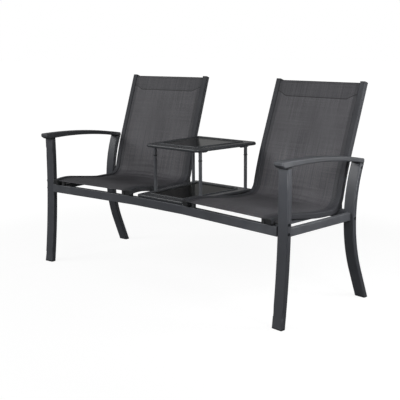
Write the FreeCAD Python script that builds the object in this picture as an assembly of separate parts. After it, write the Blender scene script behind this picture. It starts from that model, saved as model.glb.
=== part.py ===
import FreeCAD, Part
import math
import os

V = FreeCAD.Vector

# A garden companion seat: two sling chairs with a table between them, on one front and one rear rail.
# Millimetres, +Z up, the front faces -Y. Each chair is drawn in its own frame: u runs outwards from the
# bend of the front rail, v runs back from the rail's front face, z is the height. The chairs toe in.

# Layout
TOE = 5.0
KINK_X = 153.0
CHAIR_WIDTH = 602.0
FRONT_RAIL_V = 0.0
REAR_RAIL_V = 430.0

# Front and rear rails
RAIL_DEPTH = 20.0
RAIL_HEIGHT = 40.0
RAIL_TOP = 400.0
RAIL_WALL = 1.5
RAIL_CORNER = 3.0
RAIL_BEND_RADIUS = 90.0
RAIL_PLUG_LENGTH = 28.0

# Legs: flat tube bent the easy way, traced along the front face
LEG_WIDTH = 52.0
LEG_DEPTH = 25.0
LEG_CORNER = 5.5
LEG_WALL = 1.5
FRONT_LEG_RADIUS = 4200.0
FRONT_LEG_CREST_V = 6.4
FRONT_LEG_CREST_Z = 510.0
REAR_LEG_RADIUS = 640.0
REAR_LEG_CREST_V = 427.8
REAR_LEG_CREST_Z = 365.0
REAR_LEG_RAKE = 22.0
FOOT_CAP_BASE = 5.0
FOOT_CAP_PLUG = 22.0
PLUG_CLEARANCE = 0.2
LEG_CAP_GAP = 5.0

# Side rails between the legs of one end
SIDE_RAIL_WIDTH = 20.0
SIDE_RAIL_HEIGHT = 34.0
SIDE_RAIL_TOP = 393.0
SIDE_RAIL_INSET = 14.0

# Armrests
ARM_WIDTH = 48.0
ARM_FRONT_V = -24.0
ARM_REAR_V = 504.0
ARM_FRONT_TOP = 656.7
ARM_MIDDLE_TOP = 651.5
ARM_REAR_TOP = 618.0
ARM_FRONT_THICK = 26.5
ARM_MIDDLE_THICK = 20.5
ARM_REAR_THICK = 21.0
ARM_EDGE = 5.5
ARM_NOSE_HEIGHT = 15.0
ARM_NOSE_RUN = 16.0
ARM_BOLT_DIA = 8.0
ARM_BOLT_LENGTH = 34.0
ARM_PLUG_LENGTH = 12.0
ARM_PLUG_GAP = 4.0
ARM_BOLT_REACH = 9.0
ARM_SIDE_BOLT_DIA = 6.0
ARM_SIDE_BOLT_GAP = 2.0

# Bolts through the legs
BOLT_DIA = 8.0
BOLT_HEAD_DIA = 13.0
BOLT_HEAD_HEIGHT = 2.4
BOLT_HEAD_ROUND = 1.4
BOLT_SOCKET = 5.0
BOLT_SOCKET_DEPTH = 1.8
BOLT_CLEARANCE = 0.3
FRONT_BOLT_V = 13.4
FRONT_BOLT_Z = 376.0
REAR_BOLT_Z = 370.0
SEAT_BOLT_DIA = 6.0
SEAT_BOLT_Z = 413.0
SEAT_BOLT_REACH = 13.0
SPACER_DIA = 14.0

# Sling rails: traced along their centre line from the nose of the seat to the top of the back
SLING_RAIL_WIDTH = 28.0
SLING_RAIL_DEPTH = 25.0
SLING_RAIL_CORNER = 5.0
SLING_RAIL_WALL = 1.3
INNER_RAIL_U = 19.0
SLING_LEG_GAP = 20.0
NOSE_V = -7.0
NOSE_Z = 416.0
NOSE_RISE = 9.0
NOSE_RUN = 17.2
CREST_RADIUS = 303.0
SEAT_FALL = 8.06
HOLLOW_RADIUS = 770.0
BEND_LEAD = 31.0
BEND_RADIUS = 72.0
BEND_TURN = 77.5
BEND_PAST_RAIL = 16.2
LUMBAR_RADIUS = 1600.0
LUMBAR_TURN = 6.8
BACK_TOP_Z = 930.0
NOSE_CAP = 5.0
NOSE_CAP_ROUND = 2.2
TOP_CAP = 3.0
TOP_CAP_CORNER = 4.0
TOP_CAP_ROUND = 0.9
CAP_STUB = 30.0
GROOVE_INSET = 6.0
GROOVE_DIA = 6.2
GROOVE_SLOT = 2.8
GROOVE_SLOT_ROUND = 0.2
CAVITY_GAP = 2.0

# Sling and its cords
SLING_LIFT = 8.0
SLING_THICK = 1.6
SLING_FRONT_SETBACK = 2.0
SLING_TOP_SETBACK = 2.5
SLING_END_GAP = 0.1
KEDER_DIA = 5.6
TOP_HEM = 77.0
HEM_SEAM = 6.0
HEM_END_RISE = 22.0
HEM_END_RUN = 62.0
HEM_SIDE_GAP = 3.0
FRONT_HEM = 32.0
HEM_BAR_WIDTH = 22.0
HEM_BAR_THICK = 4.0
HEM_BAR_GAP = 1.6
HEM_SLACK = 0.4

# Bars between the sling rails
FRONT_BAR_WIDTH = 25.0
FRONT_BAR_THICK = 3.0
FRONT_BAR_GAP = 0.2
FRONT_BAR_S = 22.0
BAR_EDGE = 0.8
SPREADER_DIA = 16.0
SPREADER_WALL = 1.2
SPREADER_DROP = 4.5
SEAT_SPREADER_S = 205.0
BEND_SPREADER_S = 395.0
BACK_SPREADER_S = 690.0

# What carries the sling frames on the front and rear rails
TAB_WIDTH = 19.5
TAB_DEPTH = 10.5
TAB_INSET = 14.5
TAB_CHAMFER = 4.0
STRUT_WIDTH = 14.0
STRUT_HEIGHT = 12.5
STRUT_TOP = 398.0
PAD_MARGIN = 2.0
PAD_V = 1.0
SADDLE_INSET = 4.0
SADDLE_DEPTH = 15.0

# Table
TABLE_TOP = 638.0
TABLE_THICK = 16.0
TABLE_FRONT_Y = 84.0
TABLE_LENGTH = 400.0
TABLE_FRONT_HALF = 160.0
TABLE_CORNER = 20.0
TABLE_RIM = 48.0
TABLE_EDGE = 7.0
LIP_WIDTH = 6.0
LIP_HEIGHT = 4.0
LIP_ROUND = 2.5
SHEET = 2.0
RETURN_FLANGE = 25.0
PANEL_THICK = 4.0
PANEL_RECESS = 1.0
PANEL_GAP = 0.5
LEDGE = 12.0
PANEL_CORNER = 6.0
PANEL_EDGE = 0.8

# Shelf
SHELF_THICK = 12.0
SHELF_FRONT_Y = 12.0
SHELF_LENGTH = 446.0
SHELF_FRONT_HALF = 145.0
SHELF_CORNER = 9.0
SHELF_EDGE = 5.0
SHELF_BRACKET_WIDTH = 30.0
SHELF_BRACKET_LEG = 26.0
SHELF_BRACKET_THICK = 3.0
SHELF_BRACKET_X = 110.0

# Posts
POST_DIA = 16.0
POST_WALL = 1.2
POST_INSET = 20.5
FRONT_POST_Y = 132.0
REAR_POST_Y = 422.0
POST_JOINT_Z = 577.0
COLLAR_DIA = 18.6
COLLAR_HEIGHT = 6.0
COLLAR_ROUND = 1.2
SPIGOT_LENGTH = 40.0
SPIGOT_WALL = 2.2
TABLE_BRACKET_THICK = 4.0
TABLE_BRACKET_WIDTH = 22.0
TABLE_BRACKET_CORNER = 5.5
TABLE_BRACKET_EDGE = 7.0
TABLE_SCREW_RUN = 18.5
TABLE_SCREW_PITCH = 11.5
SCREW_DIA = 5.0
SCREW_HEAD_DIA = 10.0
SCREW_HEAD = 2.5
SCREW_HEAD_ROUND = 1.2
POST_PLUG_LENGTH = 15.0
POST_SCREW_DIA = 6.0

# Worked out from the sizes above
LEG_INNER_U = CHAIR_WIDTH - LEG_WIDTH
LEG_MIDDLE_U = CHAIR_WIDTH - LEG_WIDTH / 2
RAIL_MIDDLE_Z = RAIL_TOP - RAIL_HEIGHT / 2
REAR_BOLT_V = REAR_RAIL_V + RAIL_DEPTH / 2
OUTER_RAIL_U = LEG_INNER_U - SLING_LEG_GAP - SLING_RAIL_WIDTH
SLING_INNER_U = INNER_RAIL_U + SLING_RAIL_WIDTH
GROOVE_IN_U = SLING_INNER_U - GROOVE_INSET
SLING_MIDDLE_U = (SLING_INNER_U + OUTER_RAIL_U) / 2

# Tools of the build: room round a piece for cutting blocks, how far a cut runs past a face, and what
# counts as no distance at all
MARGIN = 40.0
PAST = 1.0
TINY = 0.01

pieces = {}


def left_of(heading):
    return -math.sin(heading), math.cos(heading)


def trace(start, heading, runs, offset=0.0):
    """A planar path, moved to its left by offset: (length, 0) runs straight and (radius, turn) runs round."""
    a, b = start
    h = math.radians(heading)
    a += left_of(h)[0] * offset
    b += left_of(h)[1] * offset
    steps = []
    for size, turn in runs:
        if turn == 0:
            end = (a + size * math.cos(h), b + size * math.sin(h))
            steps.append(((a, b), None, end, h, size))
        else:
            sign = 1 if turn > 0 else -1
            radius = size - sign * offset
            bend = math.radians(turn)
            centre = (a + sign * radius * left_of(h)[0], b + sign * radius * left_of(h)[1])
            round_to = [(centre[0] - sign * radius * left_of(h + share * bend)[0],
                         centre[1] - sign * radius * left_of(h + share * bend)[1]) for share in (0.5, 1.0)]
            end = round_to[1]
            steps.append(((a, b), round_to[0], end, h, radius * abs(bend)))
            h += bend
        a, b = end
    return steps, (a, b), math.degrees(h)


def path_edges(steps, place):
    edges = []
    for start, middle, end, heading, length in steps:
        if middle is None:
            edges.append(Part.LineSegment(place(*start), place(*end)).toShape())
        else:
            edges.append(Part.Arc(place(*start), place(*middle), place(*end)).toShape())
    return edges


def rounded_wire(centre, across, up, width, depth, corner):
    """A rectangle with round corners, width along across and depth along up."""
    def at(a, b):
        return centre + across * a + up * b
    w = width / 2
    d = depth / 2
    k = corner * (1 - math.sqrt(0.5))
    edges = []
    turns = ((1, 1), (-1, 1), (-1, -1), (1, -1))
    for index, (sa, sb) in enumerate(turns):
        if sa * sb > 0:
            first = at(sa * w, sb * (d - corner))
            last = at(sa * (w - corner), sb * d)
        else:
            first = at(sa * (w - corner), sb * d)
            last = at(sa * w, sb * (d - corner))
        edges.append(Part.Arc(first, at(sa * (w - k), sb * (d - k)), last).toShape())
        na, nb = turns[(index + 1) % 4]
        if na * nb > 0:
            following = at(na * w, nb * (d - corner))
        else:
            following = at(na * (w - corner), nb * d)
        edges.append(Part.LineSegment(last, following).toShape())
    return Part.Wire(Part.__sortEdges__(edges))


def sweep(steps, place, section):
    body = Part.Wire(path_edges(steps, place)).makePipeShell([section], True, False)
    return body


def side_sweep(start, heading, runs, offset, u, width, depth, corner):
    """A round-cornered bar swept along a path in the plane of one side."""
    steps = trace(start, heading, runs, offset)[0]
    h = math.radians(heading)
    centre = V(u, steps[0][0][0], steps[0][0][1])
    up = V(0, left_of(h)[0], left_of(h)[1])
    section = rounded_wire(centre, V(1, 0, 0), up, width, depth, corner)
    return sweep(steps, lambda a, b: V(u, a, b), section)


def round_sweep(start, heading, runs, offset, u, radius):
    steps = trace(start, heading, runs, offset)[0]
    h = math.radians(heading)
    centre = V(u, steps[0][0][0], steps[0][0][1])
    circle = Part.makeCircle(radius, centre, V(0, math.cos(h), math.sin(h)))
    return sweep(steps, lambda a, b: V(u, a, b), Part.Wire([circle]))


def box(u0, u1, v0, v1, z0, z1):
    return Part.makeBox(u1 - u0, v1 - v0, z1 - z0, V(u0, v0, z0))


def rod(u0, u1, v, z, dia):
    return Part.makeCylinder(dia / 2, u1 - u0, V(u0, v, z), V(1, 0, 0))


def along(shape, way):
    """The straight edges of a shape that run along an axis rather than across it."""
    return [e for e in shape.Edges if abs(e.tangentAt(e.FirstParameter).dot(way)) > math.sqrt(0.5)]


def group(solids):
    return Part.makeCompound(solids)


def to_right(shape):
    placed = shape.copy()
    placed.rotate(V(0, 0, 0), V(0, 0, 1), -TOE)
    placed.translate(V(KINK_X, 0, 0))
    return placed


def mirrored(shape):
    return shape.mirror(V(0, 0, 0), V(1, 0, 0))


def both_sides(name, shape):
    """One piece on the right and its mirror image on the left, each its own node."""
    pieces["right_" + name] = to_right(shape)
    pieces["left_" + name] = mirrored(to_right(shape))


def all_round(name, shapes):
    """Small equal pieces of both sides in one node."""
    right = [to_right(shape) for shape in shapes]
    pieces[name] = group(right + [mirrored(shape) for shape in right])


# Armrest

def arm_low_arc(drop=0.0):
    """The curve of an armrest's underside, from the end of its nose to its rear end."""
    middle_v = (ARM_FRONT_V + ARM_REAR_V) / 2
    return Part.Arc(V(0, ARM_FRONT_V + ARM_NOSE_RUN, ARM_FRONT_TOP - ARM_FRONT_THICK - drop),
                    V(0, middle_v, ARM_MIDDLE_TOP - ARM_MIDDLE_THICK - drop),
                    V(0, ARM_REAR_V, ARM_REAR_TOP - ARM_REAR_THICK - drop)).toShape()


def closed_over(arc, corners):
    """The face between a curve and the corners that lead from its end back to its start."""
    points = [arc.Vertexes[-1].Point] + corners + [arc.Vertexes[0].Point]
    edges = [Part.LineSegment(p, q).toShape() for p, q in zip(points, points[1:])]
    return Part.Face(Part.Wire([arc] + edges))


def arm_blank():
    """The armrest: its side view with a cut-back nose, rounded over all edges."""
    low = arm_low_arc()
    top_front = V(0, ARM_FRONT_V, ARM_FRONT_TOP)
    top_middle = V(0, (ARM_FRONT_V + ARM_REAR_V) / 2, ARM_MIDDLE_TOP)
    top_rear = V(0, ARM_REAR_V, ARM_REAR_TOP)
    nose_low = top_front - V(0, 0, ARM_NOSE_HEIGHT)
    edges = [
        low,
        Part.LineSegment(low.Vertexes[-1].Point, top_rear).toShape(),
        Part.Arc(top_rear, top_middle, top_front).toShape(),
        Part.LineSegment(top_front, nose_low).toShape(),
        Part.LineSegment(nose_low, low.Vertexes[0].Point).toShape(),
    ]
    blank = Part.Face(Part.Wire(edges)).extrude(V(ARM_WIDTH, 0, 0))
    blank.translate(V(LEG_MIDDLE_U - ARM_WIDTH / 2, 0, 0))
    return blank.makeFillet(ARM_EDGE, blank.Edges)


def over_arm(drop):
    """All that lies above the armrest's underside dropped by so much."""
    arc = arm_low_arc(drop)
    high = ARM_FRONT_TOP + MARGIN
    face = closed_over(arc, [V(0, ARM_REAR_V, high), V(0, ARM_FRONT_V + ARM_NOSE_RUN, high)])
    zone = face.extrude(V(LEG_WIDTH + 2 * MARGIN, 0, 0))
    zone.translate(V(LEG_INNER_U - MARGIN, 0, 0))
    return zone


# Legs

def front_leg_path(low, high):
    """Start, heading and run of the front leg's front face between two heights."""
    centre_v = FRONT_LEG_CREST_V - FRONT_LEG_RADIUS
    first = math.asin((low - FRONT_LEG_CREST_Z) / FRONT_LEG_RADIUS)
    last = math.asin((high - FRONT_LEG_CREST_Z) / FRONT_LEG_RADIUS)
    start = (centre_v + FRONT_LEG_RADIUS * math.cos(first), low)
    return start, 90 + math.degrees(first), [(FRONT_LEG_RADIUS, math.degrees(last - first))]


def rear_leg_path(low, high):
    """Start, heading and runs of the rear leg's front face: a straight foot, then one long bend."""
    rake = math.radians(REAR_LEG_RAKE)
    bend_z = REAR_LEG_CREST_Z - REAR_LEG_RADIUS * math.sin(rake)
    bend_v = REAR_LEG_CREST_V + REAR_LEG_RADIUS * (1 - math.cos(rake))
    start = (bend_v + (bend_z - low) * math.tan(rake), low)
    top = math.asin((high - REAR_LEG_CREST_Z) / REAR_LEG_RADIUS)
    runs = [((bend_z - low) / math.cos(rake), 0), (REAR_LEG_RADIUS, -REAR_LEG_RAKE - math.degrees(top))]
    return start, 90 + REAR_LEG_RAKE, runs


def leg_sweep(path, shrink=0.0):
    start, heading, runs = path
    return side_sweep(start, heading, runs, -LEG_DEPTH / 2, LEG_MIDDLE_U, LEG_WIDTH - 2 * shrink,
                      LEG_DEPTH - 2 * shrink, LEG_CORNER - shrink)


def slab(z0, z1):
    return box(-MARGIN, CHAIR_WIDTH + MARGIN, -REAR_RAIL_V, 2 * REAR_RAIL_V, z0, z1)


def leg_set(path_of):
    """A leg's full outline and bore, its foot cap, top cap, armrest plug and bolt."""
    low = -MARGIN
    high = ARM_FRONT_TOP - ARM_FRONT_THICK
    path = path_of(low, high + MARGIN)
    full = leg_sweep(path)
    bore = leg_sweep(path, LEG_WALL)
    plug = leg_sweep(path, LEG_WALL + PLUG_CLEARANCE)
    above = over_arm(LEG_CAP_GAP)
    tube = full.cut(bore).cut(slab(low - MARGIN, FOOT_CAP_BASE)).cut(above)
    tube = max(tube.Solids, key=lambda solid: solid.Volume)
    foot = full.common(slab(0, FOOT_CAP_BASE)).fuse(plug.common(slab(FOOT_CAP_BASE, FOOT_CAP_PLUG)))
    return {"tube": tube, "full": full, "plug": plug, "foot": foot.removeSplitter(), "above": above}


def arm_underside(path_of):
    """Height at which the middle of a leg meets the armrest's underside."""
    start, heading, runs = path_of(-MARGIN, ARM_FRONT_TOP)
    steps = trace(start, heading, runs, -LEG_DEPTH / 2)[0]
    last = path_edges(steps, lambda a, b: V(0, a, b))[-1]
    return last.distToShape(arm_low_arc())[1][0][0].z


def leg_head(path_of):
    """Where a leg's middle line meets the armrest, and the way it runs there."""
    start, heading, runs = path_of(-MARGIN, arm_underside(path_of))
    end, top_heading = trace(start, heading, runs, -LEG_DEPTH / 2)[1:]
    return V(LEG_MIDDLE_U, end[0], end[1]), top_heading


def down_the_leg(path_of, run):
    centre, heading = leg_head(path_of)
    h = math.radians(heading)
    return centre - V(0, math.cos(h), math.sin(h)) * run


def arm_fixing(leg, path_of):
    """The cap on the leg's top, the threaded plug in it and the bolt up into the armrest."""
    centre, heading = leg_head(path_of)
    shank_low = down_the_leg(path_of, ARM_BOLT_LENGTH - ARM_BOLT_REACH)
    shank = Part.makeCylinder(ARM_BOLT_DIA / 2, ARM_BOLT_LENGTH, shank_low, centre - shank_low)
    reach = LEG_WIDTH / 2 + MARGIN
    slice_box = box(-reach, reach, -2 * MARGIN, 2 * MARGIN, 0, ARM_PLUG_LENGTH)
    slice_box.rotate(V(0, 0, 0), V(1, 0, 0), heading - 90)
    slice_box.translate(down_the_leg(path_of, LEG_CAP_GAP + ARM_PLUG_GAP + ARM_PLUG_LENGTH))
    plug = leg["plug"].common(slice_box).cut(shank)
    cap = leg["full"].common(leg["above"]).cut(over_arm(0)).cut(shank)
    return cap, plug, shank


# Sling frames

SLING_START = (NOSE_V, NOSE_Z)


def sling_runs():
    """The sling rail's centre line: nose, crest, seat, hollow, bend, lumbar and back.

    The straight of the seat is as long as it takes for the bend to come down on the rear rail, and the
    straight of the back as long as it takes to reach its height.
    """
    front = [(NOSE_RUN, 0), (CREST_RADIUS, -NOSE_RISE - SEAT_FALL)]
    bend = [(HOLLOW_RADIUS, SEAT_FALL), (BEND_LEAD, 0), (BEND_RADIUS, BEND_TURN)]
    bend_end = trace(SLING_START, NOSE_RISE, front + bend)[1]
    seat = (REAR_RAIL_V + BEND_PAST_RAIL - bend_end[0]) / math.cos(math.radians(SEAT_FALL))
    runs = front + [(seat, 0)] + bend + [(LUMBAR_RADIUS, -LUMBAR_TURN)]
    end, heading = trace(SLING_START, NOSE_RISE, runs)[1:]
    rest = (BACK_TOP_Z - end[1]) / math.sin(math.radians(heading))
    return runs + [(rest, 0)]


RUNS = sling_runs()


def rail_at(distance, offset=0.0):
    """Point (v, z) and heading on the rail's path, moved to its left by offset."""
    left = distance
    steps = trace(SLING_START, NOSE_RISE, RUNS)[0]
    for (start, middle, end, h, length), (size, turn) in zip(steps, RUNS):
        if left <= length:
            part = [(left, 0)] if turn == 0 else [(size, turn * left / length)]
            point, heading = trace(start, math.degrees(h), part, offset)[1:]
            return point, heading
        left -= length
    return trace(SLING_START, NOSE_RISE, RUNS, offset)[1:]


def rail_length():
    return sum(step[4] for step in trace(SLING_START, NOSE_RISE, RUNS)[0])


def trimmed_runs(front, top):
    """The same path without a stretch at its front and one at its top, both in straight runs."""
    runs = list(RUNS)
    runs[0] = (runs[0][0] - front, 0)
    runs[-1] = (runs[-1][0] - top, 0)
    return runs


def trimmed_start(front):
    h = math.radians(NOSE_RISE)
    return NOSE_V + front * math.cos(h), NOSE_Z + front * math.sin(h)


def rail_bar(u, width, depth, corner, offset=0.0, front=0.0, top=0.0):
    return side_sweep(trimmed_start(front), NOSE_RISE, trimmed_runs(front, top), offset, u, width, depth,
                      corner)


def at_rail(shape, distance, offset, u):
    """Turns a piece drawn with its length along u, its width along v and its height along z."""
    point, heading = rail_at(distance, offset)
    placed = shape.copy()
    placed.rotate(V(0, 0, 0), V(1, 0, 0), heading)
    placed.translate(V(u, point[0], point[1]))
    return placed


def flat_bar(length, width, thick):
    bar = Part.makeBox(length, width, thick, V(0, -width / 2, -thick / 2))
    return bar.makeFillet(BAR_EDGE, along(bar, V(1, 0, 0)))


CAVITY_WIDTH = SLING_RAIL_WIDTH - SLING_RAIL_WALL - GROOVE_INSET - GROOVE_DIA / 2 - CAVITY_GAP
CAVITY_U = INNER_RAIL_U + SLING_RAIL_WALL + CAVITY_WIDTH / 2
CAVITY_DEPTH = SLING_RAIL_DEPTH - 2 * SLING_RAIL_WALL


def inner_rail_outline():
    return rail_bar(INNER_RAIL_U + SLING_RAIL_WIDTH / 2, SLING_RAIL_WIDTH, SLING_RAIL_DEPTH,
                    SLING_RAIL_CORNER)


def inner_rail():
    """The rail nearer the table: a hollow and, towards the seat, a round groove with a narrow mouth."""
    cavity = rail_bar(CAVITY_U, CAVITY_WIDTH, CAVITY_DEPTH, SLING_RAIL_CORNER - SLING_RAIL_WALL,
                      0, -MARGIN, -MARGIN)
    groove = round_sweep(trimmed_start(-MARGIN), NOSE_RISE, trimmed_runs(-MARGIN, -MARGIN), SLING_LIFT,
                         GROOVE_IN_U, GROOVE_DIA / 2)
    slot = rail_bar(SLING_INNER_U, 2 * GROOVE_INSET, GROOVE_SLOT, GROOVE_SLOT_ROUND, SLING_LIFT, -MARGIN, -MARGIN)
    return inner_rail_outline().cut(cavity).cut(groove).cut(slot)


def across_seat(shape):
    """The same piece on the other sling rail of a chair."""
    return shape.mirror(V(SLING_MIDDLE_U, 0, 0), V(1, 0, 0))


def cap_stub(distance, v0, v1):
    """The part of a cap that sits in the rail's hollow."""
    stub = rail_bar(CAVITY_U, CAVITY_WIDTH - 2 * PLUG_CLEARANCE, CAVITY_DEPTH - 2 * PLUG_CLEARANCE,
                    SLING_RAIL_CORNER - SLING_RAIL_WALL - PLUG_CLEARANCE)
    return stub.common(at_rail(box(-MARGIN, 2 * MARGIN, v0, v1, -MARGIN, MARGIN), distance, 0, INNER_RAIL_U))


def nose_cap():
    front = rail_bar(INNER_RAIL_U + SLING_RAIL_WIDTH / 2, SLING_RAIL_WIDTH, SLING_RAIL_DEPTH,
                     SLING_RAIL_CORNER, 0, -NOSE_CAP, 0)
    keep = at_rail(box(-MARGIN, 2 * MARGIN, -NOSE_CAP - PAST, 0, -MARGIN, MARGIN), 0, 0, INNER_RAIL_U)
    plate = front.common(keep)
    rim = [e for e in plate.Edges if e.CenterOfMass.y < trimmed_start(-NOSE_CAP + PAST)[0]]
    plate = plate.makeFillet(NOSE_CAP_ROUND, rim)
    return plate.fuse(cap_stub(0, 0, CAP_STUB)).removeSplitter()


def top_cap():
    end = rail_length()
    plate = Part.makeBox(SLING_RAIL_WIDTH, TOP_CAP, SLING_RAIL_DEPTH, V(0, 0, -SLING_RAIL_DEPTH / 2))
    plate = plate.makeFillet(TOP_CAP_CORNER, along(plate, V(0, 1, 0)))
    plate = plate.makeFillet(TOP_CAP_ROUND, [e for e in plate.Edges if e.CenterOfMass.y > TOP_CAP - TINY])
    return at_rail(plate, end, 0, INNER_RAIL_U).fuse(cap_stub(end, -CAP_STUB, 0)).removeSplitter()


def keder():
    return round_sweep(trimmed_start(SLING_FRONT_SETBACK), NOSE_RISE,
                       trimmed_runs(SLING_FRONT_SETBACK, SLING_TOP_SETBACK), SLING_LIFT, GROOVE_IN_U,
                       KEDER_DIA / 2)


def band(low, high, runs, start):
    """A closed face between two offsets of the rail's path, in the plane of one side."""
    lower, lower_end, heading = trace(start, NOSE_RISE, runs, low)
    upper, upper_end, heading = trace(start, NOSE_RISE, runs, high)
    edges = path_edges(lower, lambda a, b: V(0, a, b)) + path_edges(upper, lambda a, b: V(0, a, b))
    edges.append(Part.LineSegment(V(0, *lower[0][0]), V(0, *upper[0][0])).toShape())
    edges.append(Part.LineSegment(V(0, *lower_end), V(0, *upper_end)).toShape())
    return Part.Face(Part.Wire(Part.__sortEdges__(edges)))


def sling():
    """The stretched cloth, doubled at its front edge, with a pocket for a bar along its top edge."""
    runs = trimmed_runs(SLING_FRONT_SETBACK, SLING_TOP_SETBACK + SLING_THICK)
    start = trimmed_start(SLING_FRONT_SETBACK)
    low = SLING_LIFT - SLING_THICK / 2
    high = SLING_LIFT + SLING_THICK / 2
    reach = GROOVE_INSET - KEDER_DIA / 2 - SLING_END_GAP
    sheet = band(low, high, runs, start).extrude(V(OUTER_RAIL_U - SLING_INNER_U + 2 * reach, 0, 0))
    sheet.translate(V(SLING_INNER_U - reach, 0, 0))
    hem_runs = [(NOSE_RUN - SLING_FRONT_SETBACK, 0),
                (CREST_RADIUS, -math.degrees((FRONT_HEM - NOSE_RUN) / CREST_RADIUS))]
    hem_width = OUTER_RAIL_U - SLING_INNER_U - 2 * HEM_SIDE_GAP
    front_hem = band(low - SLING_THICK, low, hem_runs, start).extrude(V(hem_width, 0, 0))
    front_hem.translate(V(SLING_INNER_U + HEM_SIDE_GAP, 0, 0))
    return sheet.fuse(front_hem).fuse(top_pocket()).removeSplitter()


def top_pocket():
    """The hem round the top bar; its lower seam rises at both ends."""
    width = OUTER_RAIL_U - SLING_INNER_U - 2 * HEM_SIDE_GAP
    high = SLING_LIFT + SLING_THICK / 2
    room = HEM_BAR_THICK + 2 * HEM_SLACK
    low = high - room - 2 * SLING_THICK
    middle = (low + high) / 2
    outer_r = (high - low) / 2
    inner_r = outer_r - SLING_THICK
    bar_end = -outer_r - HEM_BAR_WIDTH

    def loop(radius, seam, seam_height):
        top = Part.Arc(V(0, -outer_r, middle - radius), V(0, -outer_r + radius, middle),
                       V(0, -outer_r, middle + radius)).toShape()
        corners = [V(0, -outer_r, middle + radius), V(0, seam, middle + radius), V(0, seam, seam_height),
                   V(0, bar_end, middle - radius), V(0, -outer_r, middle - radius)]
        sides = [Part.LineSegment(p, q).toShape() for p, q in zip(corners, corners[1:])
                 if p.distanceToPoint(q) > TINY]
        return Part.Face(Part.Wire(Part.__sortEdges__([top] + sides)))

    outer = loop(outer_r, -TOP_HEM, high - SLING_THICK)
    inner = loop(inner_r, -TOP_HEM + HEM_SEAM, high - SLING_THICK)
    pocket = outer.cut(inner).extrude(V(width, 0, 0))
    for near, far in ((0, HEM_END_RUN), (width, width - HEM_END_RUN)):
        corner = Part.Face(Part.makePolygon([
            V(near, -TOP_HEM - PAST, 0), V(far, -TOP_HEM - PAST, 0), V(near, -TOP_HEM + HEM_END_RISE, 0),
            V(near, -TOP_HEM - PAST, 0)]))
        prism = corner.extrude(V(0, 0, high - SLING_THICK - low + PAST))
        prism.translate(V(0, 0, low - PAST))
        pocket = pocket.cut(prism)
    return at_rail(pocket, rail_length() - SLING_TOP_SETBACK, 0, SLING_INNER_U + HEM_SIDE_GAP)


def hem_bar():
    length = OUTER_RAIL_U - SLING_INNER_U
    high = SLING_LIFT - SLING_THICK / 2 - HEM_SLACK
    centre = rail_length() - SLING_TOP_SETBACK - HEM_BAR_WIDTH / 2 - SLING_THICK - HEM_BAR_GAP
    return at_rail(flat_bar(length, HEM_BAR_WIDTH, HEM_BAR_THICK), centre, high - HEM_BAR_THICK / 2,
                   SLING_INNER_U)


def front_bar_offset():
    return SLING_LIFT - 1.5 * SLING_THICK - HEM_SLACK - FRONT_BAR_GAP - FRONT_BAR_THICK / 2


def front_bar():
    return at_rail(flat_bar(OUTER_RAIL_U - SLING_INNER_U, FRONT_BAR_WIDTH, FRONT_BAR_THICK), FRONT_BAR_S,
                   front_bar_offset(), SLING_INNER_U)


def spreader(distance):
    point = rail_at(distance, -SPREADER_DROP)[0]
    tube = rod(SLING_INNER_U, OUTER_RAIL_U, point[0], point[1], SPREADER_DIA)
    return tube.cut(rod(SLING_INNER_U - PAST, OUTER_RAIL_U + PAST, point[0], point[1],
                        SPREADER_DIA - 2 * SPREADER_WALL))


def front_tab():
    """A block that stands on the front rail and carries the seat's front bar."""
    u0 = SLING_INNER_U + TAB_INSET
    block = box(u0, u0 + TAB_WIDTH, FRONT_RAIL_V, FRONT_RAIL_V + TAB_DEPTH, RAIL_TOP, RAIL_TOP + MARGIN)
    front = [e for e in along(block, V(0, 0, 1)) if e.CenterOfMass.y < FRONT_RAIL_V + PAST]
    block = block.makeChamfer(TAB_CHAMFER, front)
    over = box(-MARGIN, 2 * OUTER_RAIL_U, -MARGIN, MARGIN, -FRONT_BAR_THICK / 2, 2 * MARGIN)
    return block.cut(at_rail(over, FRONT_BAR_S, front_bar_offset(), 0))


def strut():
    """A level bar from the front rail back to where the sling rail comes down on it."""
    middle = INNER_RAIL_U + SLING_RAIL_WIDTH / 2
    bar = box(middle - STRUT_WIDTH / 2, middle + STRUT_WIDTH / 2, FRONT_RAIL_V + RAIL_DEPTH, REAR_RAIL_V,
              STRUT_TOP - STRUT_HEIGHT, STRUT_TOP)
    cut = bar.cut(inner_rail_outline())
    return min(cut.Solids, key=lambda solid: solid.CenterOfMass.y)


def nose_pad():
    pad = box(INNER_RAIL_U + PAD_MARGIN, SLING_INNER_U - PAD_MARGIN, FRONT_RAIL_V + PAD_V,
              FRONT_RAIL_V + RAIL_DEPTH - PAD_V, RAIL_TOP, NOSE_Z)
    return min(pad.cut(inner_rail_outline()).Solids, key=lambda solid: solid.CenterOfMass.z)


def saddle():
    """A wedge on the rear rail that backs the bend of a sling rail."""
    front = REAR_RAIL_V + SADDLE_INSET
    block = box(INNER_RAIL_U + PAD_MARGIN, SLING_INNER_U - PAD_MARGIN, front, front + SADDLE_DEPTH,
                RAIL_TOP, RAIL_TOP + MARGIN)
    return max(block.cut(inner_rail_outline()).Solids, key=lambda solid: solid.CenterOfMass.y)


# Front and rear rails

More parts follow.
